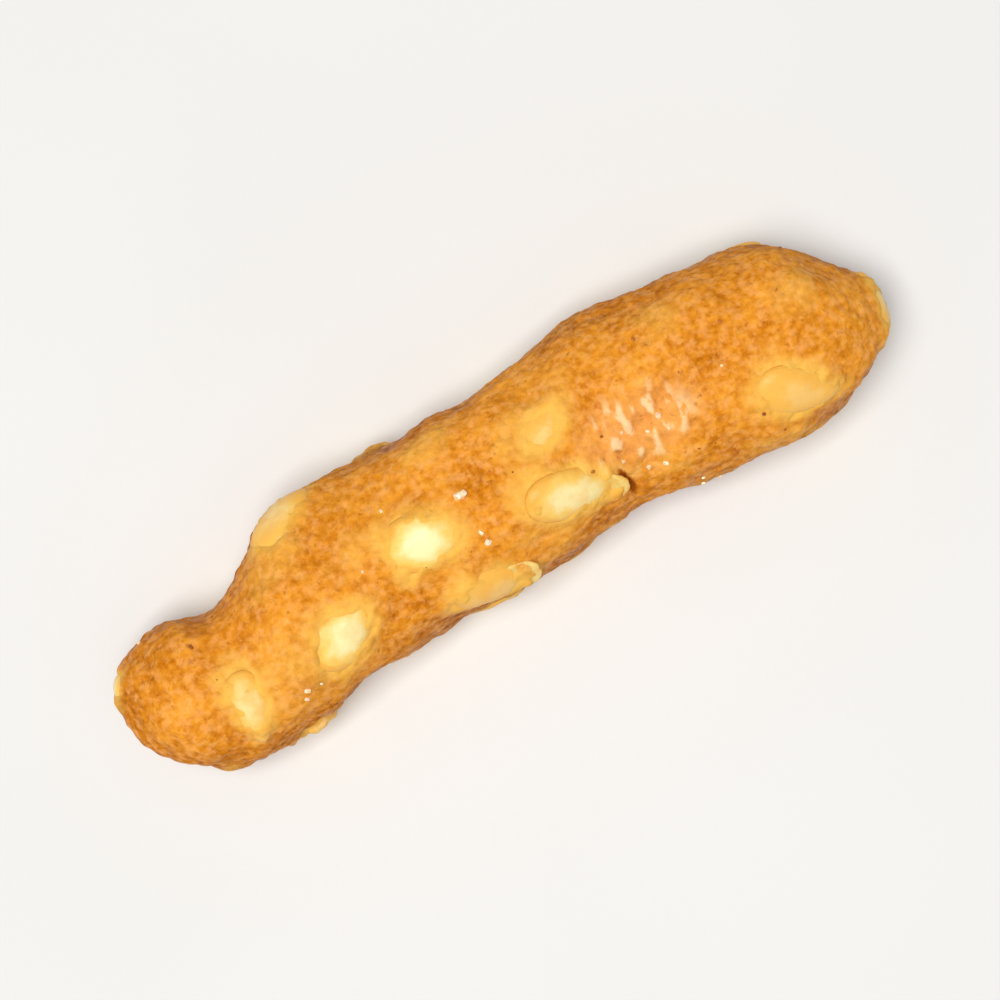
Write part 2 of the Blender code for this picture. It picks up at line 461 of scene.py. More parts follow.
class Graph:
    """A new material's node tree, with short calls that add nodes and join them."""

    def __init__(self, name: str) -> None:
        """Starts a material with its shader.

        Args:
            name: The material's name.
        """
        self.material = bpy.data.materials.new(name)
        self.material.use_nodes = True
        self.tree = self.material.node_tree
        self.shader = self.tree.nodes["Principled BSDF"]
        self.place = self.add("ShaderNodeTexCoord", {}).outputs["Object"]

    def feed(self, node: Node, inputs: dict) -> None:
        """Fills inputs of a node.

        Args:
            node: The node.
            inputs: A plain value or another node's output, by the input's name or number.
        """
        for name, value in inputs.items():
            if isinstance(value, NodeSocket):
                self.tree.links.new(value, node.inputs[name])
            else:
                node.inputs[name].default_value = value

    def add(self, kind: str, inputs: dict, **settings: object) -> Node:
        """Adds a node.

        Args:
            kind: Its type.
            inputs: What it is fed.
            settings: Its properties, by name.

        Returns:
            The node.
        """
        node = self.tree.nodes.new(kind)
        for name, value in settings.items():
            setattr(node, name, value)
        self.feed(node, inputs)
        return node

    def attribute(self, name: str) -> NodeSocket:
        """What was painted on the mesh under a name."""
        return self.add("ShaderNodeAttribute", {}, attribute_name=name).outputs["Fac"]

    def texture(
        self, kind: str, size: float, shift: tuple, drawn: float = 1.0, **inputs: float
    ) -> NodeSocket:
        """Adds a texture in the object's own space.

        Args:
            kind: Its type.
            size: How large a lump of it is, in mm.
            shift: Moves the pattern, in lumps.
            drawn: How many times longer a lump is across the strand.
            inputs: What else it is fed.

        Returns:
            Its value.
        """
        scale = 1.0 / (size * MM)
        moved = {"Vector": self.place, "Location": shift, "Scale": (scale, scale / drawn, scale)}
        place = self.add("ShaderNodeMapping", moved).outputs["Vector"]
        return self.add(kind, {"Vector": place, "Scale": 1.0, **inputs}).outputs[0]

    def noise(
        self,
        size: float,
        detail: float = 2.0,
        roughness: float = 0.5,
        shift: float = 0.0,
        drawn: float = 1.0,
    ) -> NodeSocket:
        """Noise with lumps of one size and finer layers, about 0.5 on average."""
        kind, place = "ShaderNodeTexNoise", (shift, shift * 0.7, -shift)
        return self.texture(kind, size, place, drawn, Detail=detail, Roughness=roughness)

    def band(
        self, source: NodeSocket, low: float, high: float, first: float = 0.0, last: float = 1.0
    ) -> NodeSocket:
        """Maps a stretch of values smoothly onto another.

        Args:
            source: What is mapped.
            low: Where the stretch starts.
            high: Where it ends.
            first: What low becomes.
            last: What high becomes.

        Returns:
            The mapped value.
        """
        ends = {"From Min": low, "From Max": high, "To Min": first, "To Max": last}
        kind, inputs = "ShaderNodeMapRange", {"Value": source, **ends}
        return self.add(kind, inputs, interpolation_type="SMOOTHSTEP").outputs["Result"]

    def sum(self, first: NodeSocket, second: NodeSocket | float) -> NodeSocket:
        """Two values added."""
        return self.add("ShaderNodeMath", {0: first, 1: second}, operation="ADD").outputs[0]

    def product(self, first: NodeSocket, second: NodeSocket | float) -> NodeSocket:
        """Two values multiplied."""
        return self.add("ShaderNodeMath", {0: first, 1: second}, operation="MULTIPLY").outputs[0]

    def mix(self, share: NodeSocket, first: object, second: object) -> NodeSocket:
        """Goes from the first colour to the second as share goes from 0 to 1."""
        inputs = {0: share, 6: first, 7: second}
        return self.add("ShaderNodeMix", inputs, data_type="RGBA").outputs[2]

    def ramp(self, source: NodeSocket, colours: tuple) -> NodeSocket:
        """Runs through evenly spaced colours as a value goes from 0 to 1.

        Args:
            source: The value.
            colours: The colours.

        Returns:
            The colour at that value.
        """
        node = self.add("ShaderNodeValToRGB", {"Fac": source})
        stops = node.color_ramp.elements
        for number in range(1, len(colours) - 1):
            stops.new(number / (len(colours) - 1))
        for stop, colour in zip(stops, colours):
            stop.color = colour
        return node.outputs["Color"]

    def bump(self, height: NodeSocket, depth: float, strength: float) -> None:
        """Lets a height tilt the surface's shading, on top of any bump before it.

        Args:
            height: The height, from 0 to 1.
            depth: How deep a height of 1 is, in mm.
            strength: How much of the tilt is used.
        """
        inputs = {"Height": height, "Distance": depth * MM, "Strength": strength}
        before = self.shader.inputs["Normal"]
        if before.is_linked:
            inputs["Normal"] = before.links[0].from_socket
        bump = self.add("ShaderNodeBump", inputs)
        self.feed(self.shader, {"Normal": bump.outputs["Normal"]})

    def dressed(self, colour: NodeSocket, **inputs: object) -> Material:
        """Feeds the shader. In the names of its inputs, an underscore stands for a space.

        Args:
            colour: Its colour.
            inputs: What else it is fed.

        Returns:
            The material.
        """
        named = {name.replace("_", " "): value for name, value in inputs.items()}
        self.feed(self.shader, {"Base Color": colour, **named})
        return self.material


class Finish:
    """What a piece is made of."""

    def material(self) -> Material:
        """Builds the material.

        Returns:
            The material.
        """
        raise NotImplementedError


@dataclass(frozen=True)
class FriedDough(Finish):
    """Golden brown fried dough: mottled, blistered, and thin and pale over the seeds.

    Each layer of mottling has a size in mm, a shift and a share of the tone. Plain is the
    tone on top of the strand, and the skin is painted darker low down by the share after it,
    as painted shade.
    """

    browning: tuple = (
        srgb(160, 84, 4), srgb(206, 122, 20), srgb(236, 154, 46),
        srgb(249, 180, 78), srgb(254, 208, 112),
    )
    layers: tuple = ((3.4, 0.0, 0.45), (1.3, 3.0, 0.3), (0.55, 27.0, 0.34), (0.26, 51.0, 0.74))
    plain: float = 0.41
    painted_low_shade: float = 0.42
    veil: tuple = srgb(252, 198, 92)
    bran: tuple = srgb(160, 90, 20)
    ridge_glint: tuple = srgb(255, 222, 172)
    crack_shadow: tuple = srgb(158, 78, 8)
    blush: tuple = srgb(250, 178, 100)

    def skin_colour(self, graph: Graph) -> NodeSocket:
        """Colours the plain skin by how brown it is, with painted shade low down and in its
        hollows and painted light on its raised bumps.

        Args:
            graph: The material's nodes.

        Returns:
            The colour.
        """
        lowness = graph.attribute("lowness")
        # Painted shade: the skin is painted darker the lower it lies on the strand.
        tone = graph.band(lowness, 0.2, 0.75, self.plain, self.plain - self.painted_low_shade)
        for size, shift, share in self.layers:
            layer = graph.sum(graph.noise(size, 2.0, 0.55, shift=shift), -0.5)
            tone = graph.sum(tone, graph.product(layer, share))
        # Painted shade and light: hollows are painted darker and raised bumps paler.
        relief = graph.band(graph.attribute("relief"), -0.16, 0.16, -0.1, 0.1)
        return graph.ramp(graph.sum(tone, relief), self.browning)

    def material(self) -> Material:
        """Builds the material: the skin's colour, what lies on it with painted glints on its
        crag ridges and painted shadow in its cracks, its bumps and its shine.

        Returns:
            The material.
        """
        graph = Graph("fried_dough")
        colour = self.skin_colour(graph)
        speckle = graph.band(graph.noise(0.36, 3.0, 0.6, shift=73.0), 0.42, 0.7)
        cragged = graph.attribute("crag")
        fleck = graph.band(graph.noise(0.34, 2.0, 0.6, shift=9.0), 0.64, 0.74)
        # Painted highlight: pale streaks on the crag ridges stand in for glints on oily
        # blisters.
        glint_streak = graph.band(graph.noise(0.3, 3.0, 0.6, shift=33.0, drawn=1.8), 0.36, 0.5)
        ridge = graph.band(graph.attribute("ridge"), 0.0, 0.8, 0.0, 0.72)
        for share, shade in (
            (graph.product(speckle, 0.6), self.blush),
            (graph.product(cragged, 0.55), self.blush),
            (graph.product(fleck, 0.5), self.bran),
            (graph.product(glint_streak, ridge), self.ridge_glint),
            (graph.attribute("veil"), self.veil),
            # Painted shadow: the cracks in front of the torn lips of skin are painted dark.
            (graph.band(graph.attribute("crack_shadow"), 0.1, 0.8), self.crack_shadow),
        ):
            colour = graph.mix(share, colour, shade)
        graph.bump(graph.noise(0.45, 4.0, 0.62, shift=5.0), 0.07, 0.9)
        pores = graph.texture("ShaderNodeTexVoronoi", 0.62, (2.0, -2.0, 1.2))
        graph.bump(graph.band(pores, 0.0, 0.22), 0.05, 0.6)
        oil = graph.band(graph.noise(0.9, 3.0, 0.6, shift=21.0), 0.35, 0.7, 0.28, 0.6)
        return graph.dressed(
            colour,
            Roughness=oil,
            Subsurface_Weight=0.15,
            Subsurface_Radius=(1.0, 0.45, 0.1),
            Subsurface_Scale=0.0008,
            Specular_IOR_Level=0.02,
        )


@dataclass(frozen=True)
class HulledSesame(Finish):
    """Creamy yellow seed under a thin film of fried dough, which is gone from its middle; the
    palest cream there is partly a painted highlight.
    """

    film: tuple = srgb(246, 180, 72)
    rim: tuple = srgb(253, 208, 104)
    cream_and_highlight: tuple = srgb(254, 240, 178)
    toasted: tuple = srgb(250, 186, 80)

    def material(self) -> Material:
        """Builds the material.

        Returns:
            The material.
        """
        graph = Graph("sesame_seed")
        uneven = graph.sum(graph.noise(0.75, 3.0, 0.55, shift=17.0), -0.5)
        bare = graph.sum(graph.attribute("core"), graph.product(uneven, 0.9))
        colour = graph.mix(graph.band(bare, 0.0, 0.3), self.film, self.rim)
        # Partly painted highlight: the bare middle of the seed is painted palest cream.
        colour = graph.mix(graph.band(bare, 0.26, 0.66), colour, self.cream_and_highlight)
        patch = graph.band(graph.noise(0.9, 2.0, 0.5, shift=4.0), 0.4, 0.66, 0.0, 0.3)
        toast = graph.band(graph.sum(graph.attribute("toast"), patch), 0.0, 1.2)
        colour = graph.mix(toast, colour, self.toasted)
        graph.bump(graph.noise(0.25, 3.0, 0.55, shift=7.0), 0.035, 0.7)
        return graph.dressed(
            colour,
            Roughness=0.4,
            Subsurface_Weight=0.12,
            Subsurface_Radius=(0.8, 0.7, 0.4),
            Subsurface_Scale=0.0005,
            Specular_IOR_Level=0.3,
        )


@dataclass(frozen=True)
class FriedSkin(Finish):
    """Thin crisp skin at a torn lip: amber, paler where it is thinnest."""

    thick: tuple = srgb(240, 178, 74)
    thin: tuple = srgb(252, 216, 128)

    def material(self) -> Material:
        """Builds the material.

        Returns:
            The material.
        """
        graph = Graph("fried_skin")
        spread = graph.band(graph.noise(0.7, 3.0, 0.6, shift=12.0), 0.35, 0.65)
        graph.bump(graph.noise(0.3, 3.0, 0.6), 0.05, 0.8)
        return graph.dressed(
            graph.mix(spread, self.thick, self.thin),
            Roughness=0.45,
            Subsurface_Weight=0.3,
            Subsurface_Radius=(1.0, 0.5, 0.2),
            Subsurface_Scale=0.0006,
        )


@dataclass(frozen=True)
class Bran(Finish):
    """Toasted bran and spice: brown flecks, none quite like the next."""

    dark: tuple = srgb(146, 80, 20)
    light: tuple = srgb(196, 116, 36)

    def material(self) -> Material:
        """Builds the material.

        Returns:
            The material.
        """
        graph = Graph("bran")
        spread = graph.band(graph.noise(1.1, 2.0, 0.5), 0.35, 0.65)
        graph.bump(graph.noise(0.12, 2.0, 0.5), 0.03, 0.6)
        return graph.dressed(graph.mix(spread, self.dark, self.light), Roughness=0.6)


@dataclass(frozen=True)
class Salt(Finish):
    """Fine salt: nearly white grains that let some light through and glint."""

    white: tuple = srgb(255, 238, 206)
    grey: tuple = srgb(250, 206, 146)

    def material(self) -> Material:
        """Builds the material.

        Returns:
            The material.
        """
        graph = Graph("salt")
        spread = graph.band(graph.noise(0.2, 2.0, 0.5), 0.4, 0.6)
        graph.bump(graph.noise(0.08, 1.0, 0.5), 0.02, 0.5)
        colour = graph.mix(spread, self.white, self.grey)
        return graph.dressed(colour, Roughness=0.16, Specular_IOR_Level=0.7)


# --- The stick's pieces ---


@dataclass(frozen=True)
class SeedShape:
    """A seed of full size, in mm, and how much narrower it gets towards its tip."""

    length: float = 3.0
    width: float = 1.95
    thickness: float = 0.95
    taper: float = 0.24


@dataclass
class Toppings:
    """Which seeds and flakes the stick has, and where. The rule for the flanks is seeded."""

    strand: Strand
    placed: tuple = (
        Seed(8.5, 62.0, 12.0, length=0.95, toast=0.62),
        Seed(13.1, -7.0, -10.0, width=1.1, toast=0.0),
        Seed(14.7, -58.0, -18.0, length=1.1, toast=0.85),
        Seed(18.7, -28.0, -28.0, length=1.25, toast=0.3),
        Seed(18.9, 13.0, 25.0, Cover.SUNK, length=0.8, width=0.8, toast=1.0),
        Seed(27.8, -36.0, -25.0, length=1.1, toast=0.85),
        Seed(9.0, -31.0, 12.0, length=1.05, width=1.05, toast=0.1),
        Seed(4.8, -18.0, -98.0, length=0.95, width=0.8, toast=0.52),
        Seed(0.4, 66.0, 90.0, Cover.SUNK, length=0.5, width=0.6, toast=0.1),
        Seed(32.3, 0.0, 90.0, Cover.SUNK, length=0.8, width=0.75, toast=0.5),
        Seed(7.6, 32.0, 8.0, Cover.VEILED),
        Seed(26.6, -68.0, -8.0, Cover.VEILED),
        Seed(10.6, 6.0, 35.0, Cover.VEILED, length=0.9),
        Seed(24.6, 38.0, -14.0, Cover.VEILED),
        Seed(22.4, -50.0, 10.0, Cover.VEILED, length=0.85),
        Seed(14.6, 44.0, 20.0, Cover.VEILED, length=0.95),
        Seed(29.3, 24.0, 30.0, Cover.VEILED, length=0.85),
    )
    flakes: tuple = (
        Flake(20.2, -44.0, -10.0, 1.1, 1.3, 0.14),
        Flake(15.9, -60.0, -16.0, 1.5, 1.6, 0.18),
        Flake(12.6, 127.0, -8.0, 2.0, 1.3, 0.06, swell=0.2),
        Flake(24.4, -127.0, 12.0, 2.0, 1.3, 0.06, swell=0.16),
    )
    more: int = 18
    flank: tuple = (86.0, 126.0)
    veil_edge: float = 114.0
    heading_spread: float = 28.0
    size_spread: tuple = (0.88, 1.08)
    spacing: float = 2.7
    end_margin: float = 3.0
    flank_toast: tuple = (0.3, 1.0)
    tries: int = 60
    scatter: int = 11
    browning: int = 5
    seeds: list = field(default_factory=list)

    def lay_out(self) -> list[Seed]:
        """Adds seeds to both flanks, each where it is furthest from all the others.

        Returns:
            The placed seeds and the added ones.
        """
        draw = random.Random(self.scatter)
        oven = random.Random(self.browning)
        seeds = list(self.placed)
        for _ in range(self.more):
            best, best_gap = None, self.spacing
            for _ in range(self.tries):
                side = draw.choice((-1.0, 1.0))
                around = draw.uniform(*self.flank)
                cover = draw.choice((Cover.BARE, Cover.BARE, Cover.SUNK))
                trial = Seed(
                    along=draw.uniform(self.end_margin, self.strand.length - self.end_margin),
                    around=side * around,
                    heading=draw.gauss(0.0, self.heading_spread),
                    cover=cover if around > self.veil_edge else Cover.VEILED,
                    length=draw.uniform(*self.size_spread),
                    width=draw.uniform(*self.size_spread),
                    toast=oven.uniform(*self.flank_toast),
                )
                place = self.strand.skin(trial.along, trial.around)
                gap = min(
                    (self.strand.skin(seed.along, seed.around) - place).length for seed in seeds
                )
                if gap > best_gap:
                    best, best_gap = trial, gap
            if best:
                seeds.append(best)
        self.seeds = seeds
        return seeds

    def spot(self, piece: Seed | Flake | Patch) -> Spot:
        """Where a seed, flake or patch lies."""
        return self.strand.spot(piece.along, piece.around, piece.heading)


@dataclass
class Dough:
    """The fried strand of dough, with its blisters, crags and seats for the seeds.

    Sizes, depths and heights are in mm. The fades round a seed run over the distance from
    its middle, where its rim is at 1, and gold runs over the blotches.
    """

    toppings: Toppings
    voxel: float = 0.105
    relax_turns: int = 26
    relax_share: float = 0.5
    weld: float = 0.001
    seed: SeedShape = SeedShape()
    seed_reach: float = 1.7
    seat: Fade = Fade(1.05, 0.4, 0.16)
    lip_height: float = 0.05
    lip_width: float = 0.36
    film: Fade = Fade(1.5, 0.75, 0.8)
    film_torn: float = 0.6
    glow: Fade = Fade(1.5, 0.6, 0.55)
    veiled_bulge: Fade = Fade(1.2, 0.5, 0.04)
    veiled_glow: Fade = Fade(1.2, 0.3, 0.3)
    torn: tuple = (Waves(0.6, 1.2), Waves(0.4, 0.42, 7.0))
    blotches: Waves = Waves(0.7, 1.5, 41.0)
    gold: Fade = Fade(-0.6, 0.4, 0.42)
    golden: tuple = (
        Patch(6.7, -24.0, 0.0, 1.9, 1.5),
        Patch(17.2, -46.0, 0.0, 1.7, 1.0),
        Patch(18.2, 16.0, 0.0, 1.5, 1.1),
        Patch(10.5, 108.0, 0.0, 2.0, 1.2),
    )
    wave: Waves = Waves(0.13, 1.5, 3.0)
    grain: Waves = Waves(0.055, 0.3, 19.0)
    pimple: Waves = Waves(0.11, 0.62, 11.0)
    pit_floor: float = -0.35
    plain_pimples: float = 0.55
    crag: Waves = Waves(0.22, 0.36, 23.0)
    crag_drawn: float = 2.2
    ridge_width: float = 0.3
    crag_patches: tuple = (
        Patch(21.9, -19.0, 0.0, 2.2, 1.35),
        Patch(11.4, 128.0, 0.0, 1.8, 1.0),
        Patch(6.2, -112.0, 0.0, 1.8, 1.2),
    )
    # Cracks pressed in before the torn lips of skin, which the dough material paints dark as
    # painted shadow.
    cracks: tuple = (
        Patch(20.85, -50.0, -84.0, 0.9, 0.17),
        Patch(13.7, 124.0, -80.0, 0.7, 0.14),
        Patch(25.5, -124.0, 84.0, 0.7, 0.14),
    )
    crack_depth: float = 0.2
    patch_reach: float = 2.0
    wander: Waves = Waves(0.07, 0.5, 13.0)

    def copy_of_solid(self) -> Object:
        """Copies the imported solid, with its loose triangles merged.

        Returns:
            The copy, in millimetres.
        """
        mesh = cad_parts[NODE].data.copy()
        mesh.transform(Matrix.Scale(1.0 / MM, 4))
        mesh.materials.clear()
        obj = bpy.data.objects.new("dough", mesh)
        bpy.context.scene.collection.objects.link(obj)
        with mesh_open(obj):
            bpy.ops.mesh.remove_doubles(threshold=self.weld)
        return obj

    def seat_seeds(self, obj: Object) -> np.ndarray:
        """Presses a seat under each bare seed, and raises the dough round it into a lip.

        Args:
            obj: The dough.

        Returns:
            How thin and pale the skin is at each point, from 0 to 1: over seeds and where
            it is golden.
        """
        places, normals = points_of(obj), normals_of(obj)
        push = np.zeros(len(places))
        ragged = sum(layer.at(places) for layer in self.torn)
        blotchy = self.blotches.at(places)
        veil = self.patch_share(places, self.golden) * self.gold.at(blotchy)
        for seed in self.toppings.seeds:
            ahead, across, out = self.toppings.spot(seed).measured(places)
            ahead /= 0.5 * self.seed.length * seed.length
            narrow = 1.0 - self.seed.taper * np.clip(ahead, -1.0, 1.0)
            across /= 0.5 * self.seed.width * seed.width * narrow
            reach = np.hypot(ahead, across)
            edge = reach + ragged
            near = np.abs(out) < self.seed_reach
            if seed.cover is Cover.VEILED:
                push += near * self.veiled_bulge.at(reach)
                veil = np.maximum(veil, near * self.veiled_glow.at(edge))
                continue
            lip = self.lip_height * np.exp(-(((reach - 1.0) / self.lip_width) ** 2))
            push += near * (lip * (1.0 + ragged) - self.seat.at(edge))
            film = self.film.at(reach + self.film_torn * ragged)
            veil = np.maximum(veil, near * np.maximum(self.glow.at(reach + blotchy), film))
        move_points(obj, places + normals * push[:, None])
        return veil

    def patch_share(self, places: np.ndarray, patches: tuple) -> np.ndarray:
        """Works out how far inside any of some patches each point is.

        Args:
            places: The points.
            patches: The patches.

        Returns:
            1 in the middle of a patch, and 0 outside them all.
        """
        share = np.zeros(len(places))
        wander = self.wander.at(places)
        for patch in patches:
            ahead, across, out = self.toppings.spot(patch).measured(places)
            reach = np.hypot(ahead / patch.ahead, (across + wander) / patch.across)
            near = np.abs(out) < self.patch_reach
            share = np.maximum(share, near * np.exp(-(reach**4)))
        return share

    def roughen(self, obj: Object) -> tuple[np.ndarray, np.ndarray]:
        """Gives the skin its waves, blisters, crags and cracks.

        Args:
            obj: The dough.

        Returns:
            How far each point moved out, in mm, and how much of a crag's ridge it is on.
        """
        places, normals = points_of(obj), normals_of(obj)
        cragged = self.patch_share(places, self.crag_patches)
        pimples = self.pimple.strength * np.maximum(self.pimple.shape(places), self.pit_floor)
        ridges = self.crag.shape(places / np.array((1.0, self.crag_drawn, self.crag_drawn)))
        out = self.wave.at(places) + self.grain.at(places)
        out += pimples * (self.plain_pimples + (1.0 - self.plain_pimples) * cragged)
        out += self.crag.strength * cragged * ridges
        out -= self.crack_depth * self.patch_share(places, self.cracks)
        move_points(obj, places + normals * out[:, None])
        return out, cragged * smooth_step(0.0, self.ridge_width, ridges)

    def build(self) -> Object:
        """Models the dough and paints on it what its material reads.

        Returns:
            The piece, in millimetres.
        """
        obj = self.copy_of_solid()
        bake_modifier(obj, "REMESH", mode="VOXEL", voxel_size=self.voxel, adaptivity=0.0)
        bake_modifier(obj, "SMOOTH", factor=self.relax_share, iterations=self.relax_turns)
        veil = self.seat_seeds(obj)
        relief, ridge = self.roughen(obj)
        places = points_of(obj)
        places[:, 2] = np.maximum(places[:, 2], 0.0)
        move_points(obj, places)
        for name, values in (
            ("veil", veil),
            # How far each point moved out, which the dough material turns into painted shade in
            # hollows and painted light on bumps.
            ("relief", relief),
            ("ridge", ridge),
            ("crag", self.patch_share(places, self.crag_patches)),
            ("crack_shadow", self.patch_share(places, self.cracks)),
            # How low each point lies, which the dough material turns into painted shade.
            ("lowness", 1.0 - places[:, 2] / places[:, 2].max()),
        ):
            paint(obj, name, values)
        obj.data.name = "dough"
        return obj


@dataclass
class SesameSeeds:
    """The seeds that show: flat drops, blunt at one end, bedded in the skin."""

    toppings: Toppings
    shape: SeedShape = SeedShape()
    sides: int = 28
    rings: int = 14
    tip: float = 0.06
    bedded: float = 0.05
    dents: tuple = (Waves(0.05, 0.9, 31.0), Waves(0.02, 0.35, 37.0))
    above_floor: float = 0.02

    def pattern(self) -> Object:
        """Models one seed along +X: a lens, drawn out to a point at one end.

        Returns:
            The seed, in millimetres, at the origin.
        """
        add, shape = bpy.ops.mesh.primitive_uv_sphere_add, self.shape
        obj = primitive(add, "seed", segments=self.sides, ring_count=self.rings, radius=0.5)
        with mesh_open(obj):
            bpy.ops.transform.resize(value=(shape.length, shape.width, shape.thickness))
        places = points_of(obj)
        ahead = places[:, 0] / (0.5 * shape.length)
        places[:, 1] *= 1.0 - shape.taper * ahead
        places[:, 0] += self.tip * shape.length * np.maximum(ahead, 0.0) ** 3
        move_points(obj, places)
        reach = np.hypot(places[:, 0] / shape.length, places[:, 1] / shape.width)
        paint(obj, "core", 1.0 - 2.0 * reach)
        return obj

    def build(self) -> Object:
        """Models the seeds.

        Returns:
            The piece, in millimetres.
        """
        pattern = self.pattern()
        seeds = []
        for seed in self.toppings.seeds:
            if seed.cover is Cover.VEILED:
                continue
            spot = self.toppings.spot(seed)
            size = Matrix.Diagonal((seed.length, seed.width, 1.0, 1.0))
            raised = -self.shape.thickness * seed.cover.value - self.bedded
            body = placed_copy(pattern, spot.matrix(raised) @ size)
            paint(body, "toast", np.full(len(body.data.vertices), seed.toast))
            seeds.append(body)
        bpy.data.objects.remove(pattern, do_unlink=True)
        whole = joined(seeds, "sesame_seeds")
        places = points_of(whole)
        dents = sum(layer.at(places) for layer in self.dents)
        places += normals_of(whole) * dents[:, None]
        places[:, 2] = np.maximum(places[:, 2], self.above_floor)
        move_points(whole, places)
        return whole


@dataclass
class SkinFlakes:
    """Torn lips of crisp skin that stand up beside some seeds, with sizes in mm.

    The tear is read on a ring of radius rim, so that it closes, and is strongest in front.
    """

    toppings: Toppings
    sides: int = 30
    insets: tuple = (0.09, 0.13, 0.13)
    thickness: float = 0.16
    tear: Waves = Waves(0.22, 0.42, 5.0)
    rim: float = 2.4
    back_tear: float = 0.35
    curl: float = 0.12
    droop: float = 0.25
    crumple: Waves = Waves(0.06, 0.5)

    def leaf(self, flake: Flake, number: int) -> Object:
        """Models one lip, from a disc whose front edge is torn into teeth.

        Args:
            flake: Its size and lift.
            number: Which one it is, so that each is torn in its own way.

        Returns:
            The lip along +X, in millimetres, at the origin.
        """
        add = bpy.ops.mesh.primitive_circle_add
        obj = primitive(add, "lip", vertices=self.sides, radius=0.5, fill_type="NGON")
        with mesh_open(obj):
            for inset in self.insets:
                bpy.ops.mesh.inset(thickness=inset)
        places = points_of(obj)
        angle = np.arctan2(places[:, 1], places[:, 0])
        reach = np.hypot(places[:, 0], places[:, 1]) * 2.0
        front = smooth_step(0.1, 0.7, np.cos(angle))
        ring = np.stack((np.cos(angle), np.sin(angle), 0.0 * angle), axis=1) * self.rim
        ring[:, 2] = number
        tear = self.tear.at(ring) * reach**3 * (self.back_tear + front)
        places[:, :2] *= (1.0 + tear)[:, None] * (flake.length, flake.width)
        ahead = places[:, 0] / (0.5 * flake.length)
        aside = places[:, 1] / (0.5 * flake.width)
        rise = flake.lift * ahead + self.curl * ahead * np.abs(ahead)
        places[:, 2] = rise - self.droop * flake.lift * aside**2
        places[:, 2] += self.crumple.at(places + number * self.crumple.size)
        move_points(obj, places)
        bake_modifier(obj, "SOLIDIFY", thickness=self.thickness, offset=0.0)
        bake_modifier(obj, "SUBSURF", levels=1, render_levels=1)
        return obj

    def build(self) -> Object:
        """Models the lips.

        Returns:
            The piece, in millimetres.
        """
        lips = []
        for number, flake in enumerate(self.toppings.flakes):
            leaf = self.leaf(flake, number)
            spot = self.toppings.spot(flake)
            leaf.data.transform(spot.matrix(flake.swell - 0.5 * self.thickness))
            lips.append(leaf)
        return joined(lips, "skin_flakes")


@dataclass
class Scatter:
    """Small grains on the skin, set where a rule with a seeded draw puts them."""

    dough: Object
    strand: Strand
    search: float = 1.5

    def __post_init__(self) -> None:
        """Gets the skin ready to be searched."""
        self.tree = BVHTree.FromObject(self.dough, bpy.context.evaluated_depsgraph_get())

    def landing(self, along: float, around: float, turn: float) -> Spot | None:
        """Finds where a grain lands on the finished skin.

        Args:
            along: Distance from the left tip, in mm.
            around: Angle round the strand, 0 on top.
            turn: The grain's own turn, in degrees.

        Returns:
            The spot, or None where the skin is too far off.
        """
        rough = self.strand.spot(along, around, turn)
        start = rough.point + rough.out * self.search
        point, normal, _, _ = self.tree.ray_cast(start, -rough.out, 2.0 * self.search)
        if point is None:
            return None
        across = normal.cross(rough.ahead).normalized()
        return Spot(point, across.cross(normal), across, normal)


@dataclass
class SaltGrains(Scatter):
    """Fine salt, in clusters and strays. Width and height are shares of a grain's length."""

    clusters: tuple = (
        Cluster(21.9, -19.0, 0.8, 7, (0.12, 0.24)),
        Cluster(15.0, 6.0, 0.04, 2, (0.34, 0.44)),
        Cluster(15.2, -23.0, 0.16, 3, (0.14, 0.26)),
        Cluster(6.9, -44.0, 0.3, 3),
        Cluster(11.4, 126.0, 0.8, 5),
        Cluster(24.0, -100.0, 1.0, 6),
    )
    strays: int = 8
    stray_size: tuple = (0.08, 0.18)
    stray_along: tuple = (1.2, 31.0)
    stray_around: tuple = (-135.0, 135.0)
    worn: float = 0.24
    width: tuple = (0.45, 1.0)
    height: float = 0.7
    raised: float = 0.08
    tilt: tuple = (-0.9, 0.9)
    draws: int = 5

    def pattern(self) -> Object:
        """Models one grain of salt: a small cube with worn edges.

        Returns:
            The grain, 1 mm long, at the origin.
        """
        obj = primitive(bpy.ops.mesh.primitive_cube_add, "grain", size=1.0)
        with mesh_open(obj):
            bpy.ops.mesh.bevel(offset=self.worn, segments=2)
        return obj

    def build(self) -> Object:
        """Models the salt.

        Returns:
            The piece, in millimetres.
        """
        draw = random.Random(self.draws)
        wanted = []
        for cluster in self.clusters:
            radius = self.strand.through(self.strand.half_width, cluster.along)
            turn = math.degrees(cluster.spread / radius)
            for _ in range(cluster.count):
                along = draw.gauss(cluster.along, cluster.spread)
                wanted.append((along, draw.gauss(cluster.around, turn), cluster.size))
        for _ in range(self.strays):
            along = draw.uniform(*self.stray_along)
            wanted.append((along, draw.uniform(*self.stray_around), self.stray_size))
        pattern = self.pattern()
        grains = []
        for along, around, sizes in wanted:
            size = draw.uniform(*sizes)
            spot = self.landing(along, around, draw.uniform(0.0, 360.0))
            if spot is None or spot.point.z < size:
                continue
            tilt = Matrix.Rotation(draw.uniform(*self.tilt), 4, "X")
            width = size * draw.uniform(*self.width)
            shape = Matrix.Diagonal((size, width, size * self.height, 1.0))
            grains.append(placed_copy(pattern, spot.matrix(self.raised * size) @ tilt @ shape))
        bpy.data.objects.remove(pattern, do_unlink=True)
        return joined(grains, "salt_grains")


